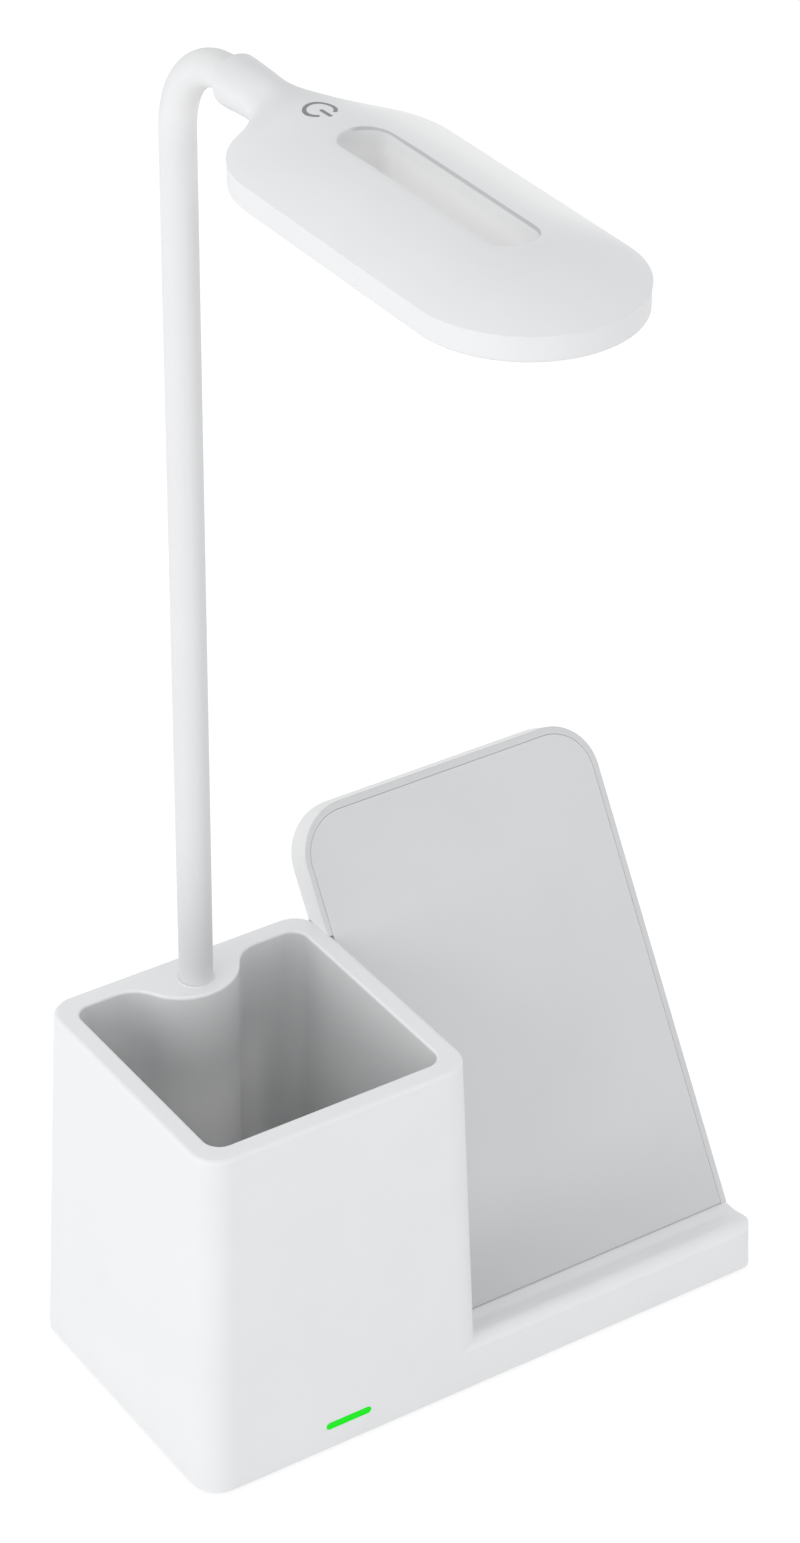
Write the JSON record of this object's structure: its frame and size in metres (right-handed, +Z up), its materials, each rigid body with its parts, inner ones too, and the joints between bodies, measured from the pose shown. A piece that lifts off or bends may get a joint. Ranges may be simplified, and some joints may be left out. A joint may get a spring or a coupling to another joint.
{
  "type": "led table lamp",
  "caption": "Desk lamp on a pen cup base with a leaning phone charging stand, a flexible gooseneck arm and a flat oval lamp head with a slot.",
  "frame": {"origin": "centre of the lamp's bounding box in plan, on the surface that its feet stand on", "axes": "+X to the right along the front, from the pen cup to the phone stand; +Y from the front to the back; +Z up"},
  "size_m": [0.17, 0.1816, 0.3631],
  "materials": {
    "black_plastic": "moulded",
    "brass": "machined",
    "circuit_board": "solder mask",
    "copper": "enamelled copper wire",
    "ferrite": "sintered",
    "frosted_white": "frosted, passes light",
    "green_light": "clear green, lit",
    "grey_mark": "printed ink",
    "grey_rubber": "matte",
    "led_phosphor": "phosphor over a white case",
    "steel": "plain",
    "white_head": "fine satin",
    "white_housing": "fine satin",
    "white_pad": "soft matte",
    "white_ring": "satin paint",
    "white_sleeve": "soft matte silicone",
    "white_stand": "fine satin",
    "zinc_steel": "zinc plated"
  },
  "bodies": {
    "base": {"main_housing": "white_housing", "bottom_cover": "white_housing", "cover_screws": "zinc_steel", "ballast_plate": "zinc_steel", "main_board": "circuit_board", "inlet_shell": "steel", "inlet_tongue": "black_plastic", "indicator_light_bar": "green_light", "indicator_led": "led_phosphor", "indicator_board": "circuit_board", "stand_shell": "white_stand", "stand_screws": "zinc_steel", "charging_pad": "white_pad", "charging_coil": "copper", "ferrite_sheet": "ferrite", "charger_board": "circuit_board", "arm_ferrule": "white_ring", "arm_lock_nut": "zinc_steel", "rubber_foot_1": "grey_rubber", "rubber_foot_2": "grey_rubber", "rubber_foot_3": "grey_rubber", "rubber_foot_4": "grey_rubber", "arm_sleeve_0": "white_sleeve", "arm_core_0": "steel"},
    "arm_1": {"arm_sleeve_1": "white_sleeve", "arm_core_1": "steel"},
    "arm_2": {"arm_sleeve_2": "white_sleeve", "arm_core_2": "steel"},
    "arm_3": {"arm_sleeve_3": "white_sleeve", "arm_core_3": "steel"},
    "arm_4": {"arm_sleeve_4": "white_sleeve", "arm_core_4": "steel"},
    "arm_5": {"arm_sleeve_5": "white_sleeve", "arm_core_5": "steel"},
    "arm_6": {"arm_sleeve_6": "white_sleeve", "arm_core_6": "steel"},
    "head": {"arm_sleeve_7": "white_sleeve", "arm_core_7": "steel", "neck_bush": "brass", "head_top_shell": "white_head", "power_mark": "grey_mark", "diffuser": "frosted_white", "led_board": "circuit_board", "leds": "led_phosphor", "head_screws": "zinc_steel", "touch_contact": "steel"}
  },
  "joints": [
    {"name": "arm_tilt_low", "type": "hinge", "parent": "base", "child": "arm_1", "pos_m": [-0.04315, 0.06981, 0.12523], "axis": [1, 0, 0], "range_deg": [-18, 18]},
    {"name": "arm_sway_low", "type": "hinge", "parent": "arm_1", "child": "arm_2", "pos_m": [-0.04315, 0.06981, 0.18561], "axis": [0, 1, 0], "range_deg": [-18, 18]},
    {"name": "arm_tilt_high", "type": "hinge", "parent": "arm_2", "child": "arm_3", "pos_m": [-0.04315, 0.06981, 0.24367], "axis": [1, 0, 0], "range_deg": [-18, 18]},
    {"name": "arm_sway_high", "type": "hinge", "parent": "arm_3", "child": "arm_4", "pos_m": [-0.04315, 0.06981, 0.30173], "axis": [0, 1, 0], "range_deg": [-18, 18]},
    {"name": "head_pitch_low", "type": "hinge", "parent": "arm_4", "child": "arm_5", "pos_m": [-0.04315, 0.06908, 0.33985], "axis": [1, 0, 0], "range_deg": [-18, 18]},
    {"name": "head_swing", "type": "hinge", "parent": "arm_5", "child": "arm_6", "pos_m": [-0.04315, 0.06347, 0.34956], "axis": [0, 0.7071, 0.7071], "range_deg": [-18, 18]},
    {"name": "head_pitch_high", "type": "hinge", "parent": "arm_6", "child": "head", "pos_m": [-0.04315, 0.05377, 0.35516], "axis": [1, 0, 0], "range_deg": [-18, 18]}
  ],
  "couplings": [
    {"joint": "arm_tilt_high", "follows": "arm_tilt_low", "ratio": 1},
    {"joint": "arm_sway_high", "follows": "arm_sway_low", "ratio": 1},
    {"joint": "head_pitch_high", "follows": "head_pitch_low", "ratio": 1}
  ]
}
